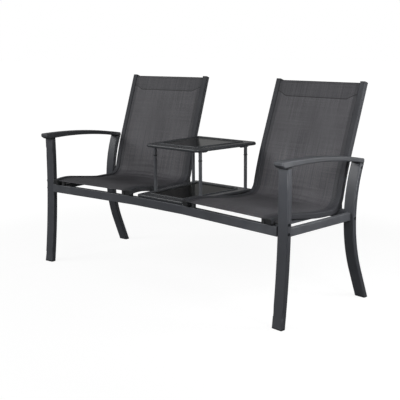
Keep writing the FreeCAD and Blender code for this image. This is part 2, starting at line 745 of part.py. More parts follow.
def long_rail(v_face, shrink=0.0):
    """A flat tube from leg to leg, bent twice so that its ends follow the toed-in chairs."""
    toe = math.radians(TOE)
    v = v_face + RAIL_DEPTH / 2
    half = KINK_X + v * math.tan(toe / 2)
    side = LEG_INNER_U + v * math.tan(toe / 2)
    tangent = RAIL_BEND_RADIUS * math.tan(toe / 2)
    start = (-half - side * math.cos(toe), v - side * math.sin(toe))
    runs = [(side - tangent, 0), (RAIL_BEND_RADIUS, -TOE), (2 * (half - tangent), 0),
            (RAIL_BEND_RADIUS, -TOE), (side - tangent, 0)]
    steps = trace(start, TOE, runs)[0]
    centre = V(start[0], start[1], RAIL_MIDDLE_Z)
    section = rounded_wire(centre, V(-math.sin(toe), math.cos(toe), 0), V(0, 0, 1),
                           RAIL_DEPTH - 2 * shrink, RAIL_HEIGHT - 2 * shrink, RAIL_CORNER - shrink)
    return sweep(steps, lambda a, b: V(a, b, RAIL_MIDDLE_Z), section)


def rail_plug(v_face, bolt_v, bolt_z):
    """The threaded block in a rail's end."""
    width = RAIL_DEPTH - 2 * RAIL_WALL
    height = RAIL_HEIGHT - 2 * RAIL_WALL
    centre = V(LEG_INNER_U - RAIL_PLUG_LENGTH, v_face + RAIL_DEPTH / 2, RAIL_MIDDLE_Z)
    wire = rounded_wire(centre, V(0, 1, 0), V(0, 0, 1), width, height, RAIL_CORNER - RAIL_WALL)
    block = Part.Face(wire).extrude(V(RAIL_PLUG_LENGTH, 0, 0))
    return block.cut(rod(0, CHAIR_WIDTH, bolt_v, bolt_z, BOLT_DIA))


# Bolts

def bolt(v, z, dia, reach_u):
    """A low button-headed bolt through a leg from outside, with a hexagon socket."""
    shank = rod(reach_u, CHAIR_WIDTH, v, z, dia)
    head = rod(CHAIR_WIDTH, CHAIR_WIDTH + BOLT_HEAD_HEIGHT, v, z, BOLT_HEAD_DIA)
    rim = [e for e in head.Edges if e.CenterOfMass.x > CHAIR_WIDTH + TINY and len(e.Vertexes) == 1]
    head = head.makeFillet(BOLT_HEAD_ROUND, rim)
    reach = BOLT_SOCKET / math.sqrt(3)
    corners = []
    for k in range(7):
        turn = math.radians(60 * k)
        corners.append(V(0, reach * math.cos(turn), reach * math.sin(turn)))
    socket = Part.Face(Part.makePolygon(corners)).extrude(V(BOLT_SOCKET_DEPTH + PAST, 0, 0))
    socket.translate(V(CHAIR_WIDTH + BOLT_HEAD_HEIGHT - BOLT_SOCKET_DEPTH, v, z))
    return shank.fuse(head).removeSplitter().cut(socket)


def bolt_hole(v, z, dia):
    return rod(LEG_MIDDLE_U, CHAIR_WIDTH + PAST, v, z, dia + 2 * BOLT_CLEARANCE)


def through_hole(v, z, dia):
    return rod(LEG_INNER_U - PAST, CHAIR_WIDTH + PAST, v, z, dia + 2 * BOLT_CLEARANCE)


# Table and shelf

def plan_face(front_y, length, front_half, inset, corner, z):
    """A tapered plan with round corners whose sides run parallel to the chairs."""
    toe = math.radians(TOE)
    rear_half = front_half + length * math.tan(toe)
    skew = inset * (1 / math.cos(toe) - math.tan(toe))
    skew_rear = inset * (1 / math.cos(toe) + math.tan(toe))
    f = front_half - skew
    r = rear_half - skew_rear
    y0 = front_y + inset
    y1 = front_y + length - inset
    points = [V(-f, y0, z), V(f, y0, z), V(r, y1, z), V(-r, y1, z)]
    edges = []
    tangents = []
    for index, point in enumerate(points):
        before = (points[index - 1] - point).normalize()
        after = (points[(index + 1) % 4] - point).normalize()
        half_angle = before.getAngle(after) / 2
        reach = corner / math.tan(half_angle)
        middle = (before + after).normalize()
        centre = point + middle * (corner / math.sin(half_angle))
        first = point + before * reach
        last = point + after * reach
        edges.append(Part.Arc(first, centre - middle * corner, last).toShape())
        tangents.append((first, last))
    for index in range(4):
        edges.append(Part.LineSegment(tangents[index][1], tangents[(index + 1) % 4][0]).toShape())
    return Part.Face(Part.Wire(Part.__sortEdges__(edges)))


def plan_block(plan, inset, corner, z0, z1):
    front_y, length, front_half = plan
    return plan_face(front_y, length, front_half, inset, corner, z0).extrude(V(0, 0, z1 - z0))


def rounded_block(plan, inset, corner, z0, z1, edge):
    """A plan block rounded over all round its top and its underside."""
    block = plan_block(plan, inset, corner, z0, z1)
    rims = [e for e in block.Edges if e.CenterOfMass.z > z1 - TINY or e.CenterOfMass.z < z0 + TINY]
    return block.makeFillet(edge, rims)


def lip(plan, top):
    """The raised bead round the panel's opening."""
    reach = TABLE_RIM - LIP_WIDTH
    bead = plan_block(plan, reach, PANEL_CORNER + LIP_WIDTH, top - SHEET / 2, top + LIP_HEIGHT)
    return bead.makeFillet(LIP_ROUND, [e for e in bead.Edges if e.CenterOfMass.z > top + LIP_HEIGHT - TINY])


def rim_frame(plan, top, thick, corner, edge):
    """A hollow rim with rounded edges, open below, with a raised lip and a ledge for the panel."""
    low = top - thick
    core = rounded_block(plan, SHEET, corner - SHEET, low + SHEET, top - SHEET, edge - SHEET)
    skin = rounded_block(plan, 0, corner, low, top, edge).cut(core).fuse(lip(plan, top))
    skin = skin.cut(plan_block(plan, RETURN_FLANGE, PANEL_CORNER, low - PAST, low + SHEET + TINY))
    ledge_top = top - PANEL_RECESS - PANEL_THICK
    skin = skin.cut(plan_block(plan, TABLE_RIM, PANEL_CORNER, ledge_top, top + LIP_HEIGHT + PAST))
    wall = plan_block(plan, TABLE_RIM - SHEET, PANEL_CORNER + SHEET, ledge_top - SHEET, top - SHEET / 2)
    wall = wall.cut(plan_block(plan, TABLE_RIM, PANEL_CORNER, ledge_top, top + PAST))
    wall = wall.cut(plan_block(plan, TABLE_RIM + LEDGE, PANEL_CORNER, ledge_top - SHEET - PAST, top))
    return skin.fuse(wall).removeSplitter()


def panel(plan, top):
    high = top - PANEL_RECESS
    plate = plan_block(plan, TABLE_RIM + PANEL_GAP, PANEL_CORNER - PANEL_GAP, high - PANEL_THICK, high)
    return plate.makeFillet(PANEL_EDGE, [e for e in plate.Edges if e.CenterOfMass.z > high - TINY])


TABLE_PLAN = (TABLE_FRONT_Y, TABLE_LENGTH, TABLE_FRONT_HALF)
SHELF_PLAN = (SHELF_FRONT_Y, SHELF_LENGTH, SHELF_FRONT_HALF)
TABLE_UNDER = TABLE_TOP - TABLE_THICK
TABLE_BRACKET_LENGTH = TABLE_BRACKET_WIDTH / 2 + TABLE_SCREW_RUN + TABLE_SCREW_PITCH + TABLE_BRACKET_EDGE
SHELF_TOP = RAIL_TOP + SHELF_THICK
POST_TOP = TABLE_UNDER - TABLE_BRACKET_THICK
POST_BORE = POST_DIA - 2 * POST_WALL
SPIGOT_DIA = POST_BORE - 2 * PLUG_CLEARANCE


def post_x(y):
    return TABLE_FRONT_HALF + (y - TABLE_FRONT_Y) * math.tan(math.radians(TOE)) - POST_INSET


def upright(x, y, z0, z1, dia):
    return Part.makeCylinder(dia / 2, z1 - z0, V(x, y, z0))


def four_posts(make):
    """One piece at each post, mirrored to the left; inwards is the way along the side to its middle."""
    right = [make(post_x(FRONT_POST_Y), FRONT_POST_Y, 1), make(post_x(REAR_POST_Y), REAR_POST_Y, -1)]
    solids = []
    for item in right:
        for shape in (item if isinstance(item, list) else [item]):
            solids += [shape, mirrored(shape)]
    return group(solids)


def upper_post(x, y, inwards):
    tube = upright(x, y, POST_JOINT_Z + COLLAR_HEIGHT, POST_TOP, POST_DIA)
    spigot = upright(x, y, POST_JOINT_Z - SPIGOT_LENGTH, POST_JOINT_Z + COLLAR_HEIGHT, SPIGOT_DIA)
    bore = upright(x, y, POST_JOINT_Z - SPIGOT_LENGTH, POST_TOP, SPIGOT_DIA - 2 * SPIGOT_WALL)
    return tube.fuse(spigot).cut(bore)


def lower_post(x, y, inwards):
    tube = upright(x, y, SHELF_TOP, POST_JOINT_Z, POST_DIA)
    return tube.cut(upright(x, y, SHELF_TOP, POST_JOINT_Z, POST_BORE))


def collar(x, y, inwards):
    ring = upright(x, y, POST_JOINT_Z, POST_JOINT_Z + COLLAR_HEIGHT, COLLAR_DIA)
    ring = ring.makeFillet(COLLAR_ROUND, [e for e in ring.Edges if len(e.Vertexes) == 1])
    return ring.cut(upright(x, y, POST_JOINT_Z, POST_JOINT_Z + COLLAR_HEIGHT, SPIGOT_DIA))


def bracket_plate(x, y, inwards):
    """The flange on a post's top, running along the table's side, with its two screw holes."""
    low = -TABLE_BRACKET_WIDTH / 2
    plate = Part.makeBox(TABLE_BRACKET_WIDTH, TABLE_BRACKET_LENGTH, TABLE_BRACKET_THICK, V(low, low, 0))
    plate = plate.makeFillet(TABLE_BRACKET_CORNER, along(plate, V(0, 0, 1)))
    if inwards < 0:
        plate.rotate(V(0, 0, 0), V(0, 0, 1), 180)
    plate.rotate(V(0, 0, 0), V(0, 0, 1), -TOE)
    plate.translate(V(x, y, POST_TOP))
    for hole in screw_places(x, y, inwards):
        plate = plate.cut(upright(hole[0], hole[1], POST_TOP - PAST, TABLE_UNDER + PAST, SCREW_DIA))
    return plate


def screw_places(x, y, inwards):
    toe = math.radians(TOE)
    runs = (TABLE_SCREW_RUN, TABLE_SCREW_RUN + TABLE_SCREW_PITCH)
    return [(x + inwards * run * math.sin(toe), y + inwards * run * math.cos(toe)) for run in runs]


def table_screw(x, y, inwards):
    screws = []
    for px, py in screw_places(x, y, inwards):
        head = upright(px, py, POST_TOP - SCREW_HEAD, POST_TOP, SCREW_HEAD_DIA)
        head = head.makeFillet(SCREW_HEAD_ROUND, [e for e in head.Edges if len(e.Vertexes) == 1
                                                  and e.CenterOfMass.z < POST_TOP - TINY])
        screws.append(head.fuse(upright(px, py, POST_TOP, TABLE_UNDER + SHEET + PAST, SCREW_DIA)))
    return screws


def post_plug(x, y, inwards):
    plug = upright(x, y, SHELF_TOP, SHELF_TOP + POST_PLUG_LENGTH, POST_BORE)
    return plug.cut(upright(x, y, SHELF_TOP, SHELF_TOP + POST_PLUG_LENGTH, POST_SCREW_DIA))


def post_screw(x, y, inwards):
    under = SHELF_TOP - SHEET
    head = upright(x, y, under - SCREW_HEAD, under, SCREW_HEAD_DIA)
    return head.fuse(upright(x, y, under, SHELF_TOP + POST_PLUG_LENGTH, POST_SCREW_DIA))


def drilled(frame, make_holes):
    for x, y, inwards in ((post_x(FRONT_POST_Y), FRONT_POST_Y, 1), (post_x(REAR_POST_Y), REAR_POST_Y, -1)):
        for hole in make_holes(x, y, inwards):
            frame = frame.cut(hole).cut(mirrored(hole))
    return frame


def table_frame():
    frame = rim_frame(TABLE_PLAN, TABLE_TOP, TABLE_THICK, TABLE_CORNER, TABLE_EDGE)

    def holes(x, y, inwards):
        return [upright(px, py, TABLE_UNDER - PAST, TABLE_UNDER + SHEET + PAST, SCREW_DIA)
                for px, py in screw_places(x, y, inwards)]
    return drilled(frame, holes)


def shelf_frame():
    frame = rim_frame(SHELF_PLAN, SHELF_TOP, SHELF_THICK, SHELF_CORNER, SHELF_EDGE)

    def holes(x, y, inwards):
        return [upright(x, y, SHELF_TOP - SHEET - PAST, SHELF_TOP + PAST, POST_SCREW_DIA)]
    return drilled(frame, holes)


def shelf_bracket(face_y, back):
    """An angle on a rail's inner face under the shelf; back is +1 behind the front rail, -1 at the rear."""
    w = SHELF_BRACKET_WIDTH
    t = SHELF_BRACKET_THICK
    leg = SHELF_BRACKET_LEG
    flat = Part.makeBox(w, leg, t, V(-w / 2, 0, RAIL_TOP - t))
    wall = Part.makeBox(w, t, leg, V(-w / 2, 0, RAIL_TOP - leg))
    angle = flat.fuse(wall).removeSplitter()
    if back < 0:
        angle.rotate(V(0, 0, 0), V(0, 0, 1), 180)
    angle.translate(V(SHELF_BRACKET_X, face_y, 0))
    return angle


def side_rail(front, rear):
    """The flat tube under the seat's outer side, cut to the curves of both legs."""
    centre = V(CHAIR_WIDTH - SIDE_RAIL_INSET - SIDE_RAIL_WIDTH / 2, FRONT_RAIL_V,
               SIDE_RAIL_TOP - SIDE_RAIL_HEIGHT / 2)
    reach = V(0, REAR_BOLT_V - FRONT_RAIL_V, 0)

    def bar(shrink):
        wire = rounded_wire(centre, V(1, 0, 0), V(0, 0, 1), SIDE_RAIL_WIDTH - 2 * shrink,
                            SIDE_RAIL_HEIGHT - 2 * shrink, RAIL_CORNER - shrink)
        return Part.Face(wire).extrude(reach)
    between = bar(0).cut(front["full"]).cut(rear["full"])
    return max(between.Solids, key=lambda solid: solid.Volume).cut(bar(RAIL_WALL))


def build_frame():
    front = leg_set(front_leg_path)
    rear = leg_set(rear_leg_path)
    front_cap, front_plug, front_shank = arm_fixing(front, front_leg_path)
    rear_cap, rear_plug, rear_shank = arm_fixing(rear, rear_leg_path)
    both_sides("armrest", arm_blank().cut(front_shank).cut(rear_shank))
    plug_middle = down_the_leg(rear_leg_path, LEG_CAP_GAP + ARM_PLUG_GAP + ARM_PLUG_LENGTH / 2)
    side_reach = LEG_MIDDLE_U + ARM_BOLT_DIA / 2 + ARM_SIDE_BOLT_GAP
    side_bolt = bolt(plug_middle.y, plug_middle.z, ARM_SIDE_BOLT_DIA, side_reach)
    front_tube = front["tube"].cut(through_hole(FRONT_BOLT_V, FRONT_BOLT_Z, BOLT_DIA))
    both_sides("front_leg", front_tube.cut(through_hole(FRONT_BOLT_V, SEAT_BOLT_Z, SEAT_BOLT_DIA)))
    rear_tube = rear["tube"].cut(through_hole(REAR_BOLT_V, REAR_BOLT_Z, BOLT_DIA))
    both_sides("rear_leg", rear_tube.cut(bolt_hole(plug_middle.y, plug_middle.z, ARM_SIDE_BOLT_DIA)))
    all_round("foot_caps", [front["foot"], rear["foot"]])
    all_round("leg_top_caps", [front_cap, rear_cap])
    all_round("armrest_plugs", [front_plug, rear_plug.cut(side_bolt)])
    all_round("armrest_bolts", [front_shank, rear_shank])
    all_round("armrest_side_bolts", [side_bolt])
    both_sides("side_rail", side_rail(front, rear))
    pieces["front_rail"] = long_rail(FRONT_RAIL_V).cut(long_rail(FRONT_RAIL_V, RAIL_WALL))
    pieces["rear_rail"] = long_rail(REAR_RAIL_V).cut(long_rail(REAR_RAIL_V, RAIL_WALL))
    all_round("rail_end_plugs", [rail_plug(FRONT_RAIL_V, FRONT_BOLT_V, FRONT_BOLT_Z),
                                 rail_plug(REAR_RAIL_V, REAR_BOLT_V, REAR_BOLT_Z)])
    deep = LEG_INNER_U - RAIL_PLUG_LENGTH
    all_round("frame_bolts", [bolt(FRONT_BOLT_V, FRONT_BOLT_Z, BOLT_DIA, deep),
                              bolt(REAR_BOLT_V, REAR_BOLT_Z, BOLT_DIA, deep)])
    rail_side = OUTER_RAIL_U + SLING_RAIL_WIDTH
    all_round("seat_bolts", [bolt(FRONT_BOLT_V, SEAT_BOLT_Z, SEAT_BOLT_DIA, rail_side - SEAT_BOLT_REACH)])
    spacer = rod(rail_side, LEG_INNER_U, FRONT_BOLT_V, SEAT_BOLT_Z, SPACER_DIA)
    all_round("seat_spacers", [spacer.cut(rod(OUTER_RAIL_U, CHAIR_WIDTH, FRONT_BOLT_V, SEAT_BOLT_Z,
                                              SEAT_BOLT_DIA))])


def build_chairs():
    rail = inner_rail()
    bolt_bore = rod(OUTER_RAIL_U + SLING_RAIL_WIDTH - SEAT_BOLT_REACH, CHAIR_WIDTH, FRONT_BOLT_V,
                    SEAT_BOLT_Z, SEAT_BOLT_DIA)
    both_sides("inner_sling_rail", rail)
    both_sides("outer_sling_rail", across_seat(rail).cut(bolt_bore))
    nose = nose_cap()
    both_sides("nose_caps", group([nose, across_seat(nose).cut(bolt_bore)]))
    top = top_cap()
    all_round("rail_top_caps", [top, across_seat(top)])
    both_sides("sling", sling())
    cord = keder()
    both_sides("keder_cords", group([cord, across_seat(cord)]))
    both_sides("hem_bar", hem_bar())
    both_sides("front_bar", front_bar())
    both_sides("seat_spreader", spreader(SEAT_SPREADER_S))
    both_sides("bend_spreader", spreader(BEND_SPREADER_S))
    both_sides("back_spreader", spreader(BACK_SPREADER_S))
    tab = front_tab()
    both_sides("front_tabs", group([tab, across_seat(tab)]))
    both_sides("strut", across_seat(strut()))
    pad = nose_pad()
    all_round("nose_pads", [pad, across_seat(pad)])
    block = saddle()
    all_round("rear_saddles", [block, across_seat(block)])


def build_table():
    pieces["table_frame"] = table_frame()
    pieces["table_panel"] = panel(TABLE_PLAN, TABLE_TOP)
    pieces["shelf_frame"] = shelf_frame()
    pieces["shelf_panel"] = panel(SHELF_PLAN, SHELF_TOP)
    pieces["upper_posts"] = four_posts(upper_post)
    pieces["lower_posts"] = four_posts(lower_post)
    pieces["post_collars"] = four_posts(collar)
    pieces["post_plugs"] = four_posts(post_plug)
    pieces["post_screws"] = four_posts(post_screw)
    pieces["table_brackets"] = four_posts(bracket_plate)
    pieces["table_screws"] = four_posts(table_screw)
    front = shelf_bracket(FRONT_RAIL_V + RAIL_DEPTH, 1)
    rear = shelf_bracket(REAR_RAIL_V, -1)
    pieces["shelf_brackets"] = group([front, rear, mirrored(front), mirrored(rear)])


def export():
    """Moves the origin to the middle of the bench's footprint on the ground and writes every node."""
    whole = Part.makeCompound(list(pieces.values())).optimalBoundingBox(False, False)
    shift = V(0, -(whole.YMin + whole.YMax) / 2, 0)
    os.makedirs("parts", exist_ok=True)
    for name, shape in pieces.items():
        shape.translate(shift)
        solids = shape.Solids
        body = solids[0] if len(solids) == 1 else Part.makeCompound(solids)
        body.exportStep("parts/" + name + ".step")
        print(name, len(solids), round(body.Volume), body.isValid())
    print("size", round(whole.XLength, 1), round(whole.YLength, 1), round(whole.ZLength, 1), "shift", shift.y)


build_frame()
build_chairs()
build_table()
export()
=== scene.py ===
import math

import bpy
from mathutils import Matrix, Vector


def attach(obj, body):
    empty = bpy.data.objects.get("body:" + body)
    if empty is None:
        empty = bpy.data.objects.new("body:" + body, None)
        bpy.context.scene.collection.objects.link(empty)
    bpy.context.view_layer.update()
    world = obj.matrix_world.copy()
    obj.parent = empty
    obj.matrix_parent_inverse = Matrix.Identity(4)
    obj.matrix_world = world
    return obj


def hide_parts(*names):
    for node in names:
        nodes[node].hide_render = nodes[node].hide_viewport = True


# Looks of a garden companion seat: two woven sling chairs with a table between them.
# Metres, +Z up, the front faces -Y. Each chair has its own frame: u runs outwards, v back, z up.

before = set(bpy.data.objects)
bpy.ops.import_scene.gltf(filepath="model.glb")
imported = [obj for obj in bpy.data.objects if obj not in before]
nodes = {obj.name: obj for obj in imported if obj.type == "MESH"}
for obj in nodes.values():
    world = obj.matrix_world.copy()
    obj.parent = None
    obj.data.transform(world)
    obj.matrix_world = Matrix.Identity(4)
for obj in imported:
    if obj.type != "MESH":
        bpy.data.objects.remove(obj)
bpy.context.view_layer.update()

# The chairs' frame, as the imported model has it
TOE = math.radians(5.0)
KINK_X = 0.153
ORIGIN_Y = -0.2671982
CHAIR_WIDTH = 0.602
SIDES = ((1, "right"), (-1, "left"))

# Sling rails
INNER_RAIL_U = 0.019
OUTER_RAIL_U = 0.502
RAIL_WIDTH = 0.028
NOSE_V = -0.007
NOSE_Z = 0.416
NOSE_RISE = math.radians(9.0)
NOSE_RUN = 0.0172
CREST_RADIUS = 0.303
CREST_TURN = -17.06
SEAT_RUN = 0.13844
HOLLOW_RADIUS = 0.770
HOLLOW_TURN = 8.06
BEND_LEAD = 0.031
BEND_RADIUS = 0.072
BEND_TURN = 77.5
LUMBAR_RADIUS = 1.600
LUMBAR_TURN = -6.8
BACK_TOP_Z = 0.930

# The rail's runs from its nose: a straight one as (length, 0), a bend as (radius, degrees)
TO_BEND = [(NOSE_RUN, 0), (CREST_RADIUS, CREST_TURN), (SEAT_RUN, 0), (HOLLOW_RADIUS, HOLLOW_TURN),
           (BEND_LEAD, 0)]
BEND = [(BEND_RADIUS, BEND_TURN)]
TO_BACK = [(LUMBAR_RADIUS, LUMBAR_TURN)]

# Cloth
CLOTH_IN = INNER_RAIL_U + RAIL_WIDTH
CLOTH_OUT = OUTER_RAIL_U
CLOTH_MIDDLE = (CLOTH_IN + CLOTH_OUT) / 2
CLOTH_HALF = (CLOTH_OUT - CLOTH_IN) / 2
CLOTH_LIFT = 0.008
CLOTH_THICK = 0.0014
FRONT_SETBACK = 0.002
TOP_SETBACK = 0.0025
FRONT_HEM = 0.032
TOP_HEM = 0.077
HEM_END_RISE = 0.022
HEM_END_RUN = 0.062
HEM_GAP = 0.003
GROOVE_REACH = 0.0031
GROOVE_ENTRY = 0.004
SIDE_HEM = 0.020
SIDE_HEM_GAP = 0.0012
SIDE_HEM_FRONT_GAP = 0.004
SIDE_HEM_TOP_GAP = 0.002
POCKET_DROP = 0.0064
POCKET_CLOSES_FROM = 0.55
LAYER_GAP = 0.0002

# How the cloth stands off the plain sweep between the rails: the pull comes in from before the bend's
# start to after it, and goes in the same way round the bend's end
PULL = 0.0045
PULL_COMES = (0.09, 0.02)
PULL_GOES = (0.02, 0.13)
RIPPLE_DEPTH = 0.0015
RIPPLE_PITCH = 0.027
RIPPLE_BOW = 0.018
RIPPLE_UNEVEN = 0.4
RIPPLE_UNEVEN_TURNS = (3.1, 1.3)
WAVE_DEPTH = 0.0006
WAVE_TURNS = (9.0, 2.0)

# Stitches
STITCH_PITCH = 0.0042
STITCH_HALF_LENGTH = 0.0015
STITCH_HALF_WIDTH = 0.00035
STITCH_HEIGHT = 0.0003
STITCH_SINK = 0.0001
SEAM_STEP = 0.01
SIDE_SEAM_INSET = 0.003
SIDE_SEAM_START = 0.006
SIDE_SEAM_STOP = 0.050
TOP_SEAMS = (0.004, 0.0085)
TOP_SEAM_REACH = 0.985
FRONT_SEAM_INSET = 0.004

# Weave
WARP_PITCH = 0.00115
WEFT_PITCH = 0.0014375
WEAVE_SHIFT = 0.0003

# What the welds sit on. A leg is given by its crest's place and height and by its bend radius
FRONT_LEG = (0.0064, 0.510, 4.200)
REAR_LEG = (0.4278, 0.365, 0.640)
LEG_DEPTH = 0.025
FRONT_RAIL_DEPTH = 0.020
SIDE_RAIL_INSET = 0.014
SIDE_RAIL_WIDTH = 0.020
SIDE_RAIL_HEIGHT = 0.034
SIDE_RAIL_TOP = 0.393
SPREADERS = (0.205, 0.395, 0.690)
SPREADER_DIA = 0.016
SPREADER_DROP = 0.0045
STRUT_WIDTH = 0.014
STRUT_HEIGHT = 0.0125
STRUT_TOP = 0.398
BEAD = 0.0016
BEAD_STANDS_OUT = 0.3
BEAD_RIPPLE = 0.14
BEAD_RING = 8

# Camera: the photograph's place, direction and framing, with angles in degrees
CAMERA_PLACE = (2.3274, -2.5228, 1.0679)
CAMERA_DIP = 8.764
CAMERA_TURN = 40.166
CAMERA_LENS = 65.86
CAMERA_SENSOR = 36
CAMERA_SHIFT = (-0.0728, -0.0917)

# Lamps: name, place, aim, size, watts and spread in degrees
LAMPS = (
    ("key", (0.3, -4.5, 1.4), (0.0, 0.0, 0.5), (3.0, 1.4), 56, 180),
    ("left_front", (-2.8, -3.4, 2.8), (-0.3, 0.0, 0.5), (2.2, 2.0), 84, 180),
    ("near_right", (1.6, -0.35, 1.3), (0.75, 0.0, 0.6), (0.4, 0.5), 6.6, 180),
    ("right_end", (1.1, -0.72, 0.88), (0.76, -0.36, 0.62), (0.2, 0.2), 0.2, 46),
    ("side", (1.6, 0.4, 0.85), (0.75, 0.1, 0.6), (0.4, 0.5), 6.0, 180),
    ("rear", (0.6, 4.4, 1.1), (0.0, 0.0, 0.5), (2.4, 1.4), 45, 180),
)
WHITE = (1, 1, 1, 1)
WORLD_STRENGTH = 0.03
WORLD_GLOSS = 0.25
FLOOR_REACH = 60.0
FLOOR_TONE = 0.18
FLOOR_GLOW = 0.9
GLOW_FROM = 1.2
GLOW_FULL = 2.6

# Coats: colour and the paler colour of the edges, worn and painted with highlight, as 8-bit tones,
# roughness, grain per metre and its depth
COATS = {
    "graphite_steel": ((73, 75, 80), (112, 114, 118), (0.32, 0.46), 1400, 0.00012, {}),
    "rim_steel": ((67, 69, 72), (112, 114, 118), (0.2, 0.3), 1400, 0.00012, {}),
    # The sling rails carry the frame's own coat: this is a darker copy of it, painted shade on their faces,
    # with a rougher finish
    "shaded_rail_steel": ((64, 65, 69), (86, 88, 92), (0.6, 0.75), 1400, 0.00012, {"Specular IOR Level": 0.3}),
    "arm_polymer": ((74, 76, 80), (104, 106, 109), (0.42, 0.6), 900, 0.0002, {}),
    "black_plastic": ((34, 35, 37), (58, 58, 60), (0.45, 0.65), 700, 0.00015, {}),
    "pad_rubber": ((26, 26, 27), (44, 44, 45), (0.7, 0.9), 500, 0.0002, {}),
    "keder_plastic": ((40, 40, 42), (60, 60, 62), (0.4, 0.55), 1200, 0.0001, {}),
    "bolt_steel": ((52, 54, 57), (150, 152, 155), (0.28, 0.42), 1800, 0.00005, {"Metallic": 0.85}),
}
TONE_SWING = 0.06

# Paler edges of a coat, partly wear and partly a painted highlight: Blender's pointiness where it starts
# and where it is full, and its least and most share
EDGE_WEAR_AND_HIGHLIGHT = (0.53, 0.62)
EDGE_WEAR_AND_HIGHLIGHT_SHARE = (0.15, 0.6)

# Noise: scale per metre, detail and roughness
BLOTCHES = (9.0, 3.0, 0.55)
SHEEN = (6.0, 3.0, 0.6)
SPECKS = (420.0, 2.0, 0.6)
WAVINESS = (160.0, 2.0, 0.5)
TWIST = (2600.0, 1.0, 0.5)

# Cloth noise: scale along u and v per metre, detail, roughness and share in the tone
STREAKS = (360.0, 2.6, 2.0, 0.6, 0.55)
CROSS_STREAKS = (3.0, 300.0, 1.0, 0.5, 0.2)
CLOUDS = (9.0, 5.0, 3.0, 0.5, 0.25)

# Panels: how strongly each reflects
GLASSES = {"dark_glass": 0.5, "shelf_glass": 0.05}
GLASS_ROUGH = (0.14, 0.2)
GLASS_DEPTH = 0.00002
DUST_SHARE = 0.12

# Tones of the panels, the cloth and the thread, darkest and palest
GLASS_TONES = ((10, 10, 6), (16, 16, 11))
DUST_TONE = (84, 84, 78)
YARN_TONES = ((64, 63, 67), (117, 116, 120))
MESH_GAP_TONE = (38, 38, 40)
DOUBLED_TONE = (52, 53, 57)
# Painted shade along the seam, and the darker lines near the top edge
DARK_LINE_TONE = (22, 22, 24)
THREAD_TONES = ((40, 40, 42), (70, 70, 72))

# Cloth and thread: roughness from the gaps to the yarn's crests, depth of the weave and of the twist
CLOTH_ROUGH = (0.8, 0.5)
CLOTH_GLOSS = 0.35
WEAVE_DEPTH = 0.00018
THREAD_ROUGH = 0.7
TWIST_DEPTH = 0.00008

# Darker lines near the top edge: distance below it, half width and strength
BAR_LINE = (0.011, 0.0018, 0.5)
TOP_LINE = (0.001, 0.005, 0.8)
# Painted shade along the top hem's seam, for its groove: its half width, and the strength of all the dark
# lines
SEAM_HALF_WIDTH = 0.0028
DARK_LINE_STRENGTH = 0.8
SIDE_HEM_STRENGTH = 0.6
POCKET_STRENGTH = 0.30

# The first line with a word that is in a node's name gives the node's material
WORDS_OF = {
    "bolt_steel": ("bolts", "screws"),
    "black_plastic": ("caps", "plugs", "spacers", "collars", "front_tabs"),
    "pad_rubber": ("pads", "saddles"),
    "keder_plastic": ("keder",),
    "dark_glass": ("table_panel",),
    "shelf_glass": ("shelf_panel",),
    # The sling rails get the darker copy of the frame's coat, painted shade
    "shaded_rail_steel": ("sling_rail",),
    "rim_steel": ("table_frame", "shelf_frame"),
    "graphite_steel": ("front_leg", "rear_leg", "side_rail", "front_rail", "rear_rail", "front_bar",
                       "spreader", "strut", "posts", "brackets", "hem_bar"),
    "arm_polymer": ("armrest",),
}


# Sling rail path

def left_of(heading):
    return -math.sin(heading), math.cos(heading)


def advance(point, heading, size, turn, share=1.0):
    """The point and heading after a share of one run; turn is in degrees and 0 is a straight run."""
    a, b = point
    if turn == 0:
        return (a + size * share * math.cos(heading), b + size * share * math.sin(heading)), heading
    sign = 1 if turn > 0 else -1
    bend = math.radians(turn) * share
    centre = (a + sign * size * left_of(heading)[0], b + sign * size * left_of(heading)[1])
    end = (centre[0] - sign * size * left_of(heading + bend)[0],
           centre[1] - sign * size * left_of(heading + bend)[1])
    return end, heading + bend


def full_path():
    """All runs of the rail, the last one straight up to the top of the back."""
    runs = TO_BEND + BEND + TO_BACK
    point, heading = (NOSE_V, NOSE_Z), NOSE_RISE
    for size, turn in runs:
        point, heading = advance(point, heading, size, turn)
    return runs + [((BACK_TOP_Z - point[1]) / math.sin(heading), 0)]


def run_length(size, turn):
    return size if turn == 0 else size * abs(math.radians(turn))


RUNS = full_path()
LENGTHS = [run_length(*run) for run in RUNS]
RAIL_LENGTH = sum(LENGTHS)
CLOTH_TOP = RAIL_LENGTH - TOP_SETBACK
BEND_START = sum(LENGTHS[:len(TO_BEND)])
BEND_END = sum(LENGTHS[:len(TO_BEND + BEND)])


def on_rail(s, lift):
    """(v, z) at distance s along the rail's centre line, lifted towards the sitter."""
    point, heading = (NOSE_V, NOSE_Z), NOSE_RISE
    left = s
    for (size, turn), length in zip(RUNS, LENGTHS):
        if left <= length or (size, turn) == RUNS[-1]:
            point, heading = advance(point, heading, size, turn, left / length)
            break
        point, heading = advance(point, heading, size, turn)
        left -= length
    side = left_of(heading)
    return point[0] + side[0] * lift, point[1] + side[1] * lift


def place(u, v, z, side):
    """A chair's own coordinates in the frame of the model; side is 1 on the right and -1 on the left."""
    x = KINK_X + u * math.cos(TOE) + v * math.sin(TOE)
    y = -u * math.sin(TOE) + v * math.cos(TOE) + ORIGIN_Y
    return Vector((side * x, y, z))


# Mesh helpers

def add_mesh(name, verts, faces, uvs=None, smooth=True):
    mesh = bpy.data.meshes.new(name)
    mesh.from_pydata([tuple(v) for v in verts], [], faces)
    if uvs is not None:
        layer = mesh.uv_layers.new(name="metres")
        for loop in mesh.loops:
            layer.data[loop.index].uv = uvs[loop.vertex_index]
    if smooth:
        mesh.shade_smooth()
    mesh.validate()
    obj = bpy.data.objects.new(name, mesh)
    bpy.context.scene.collection.objects.link(obj)
    return obj


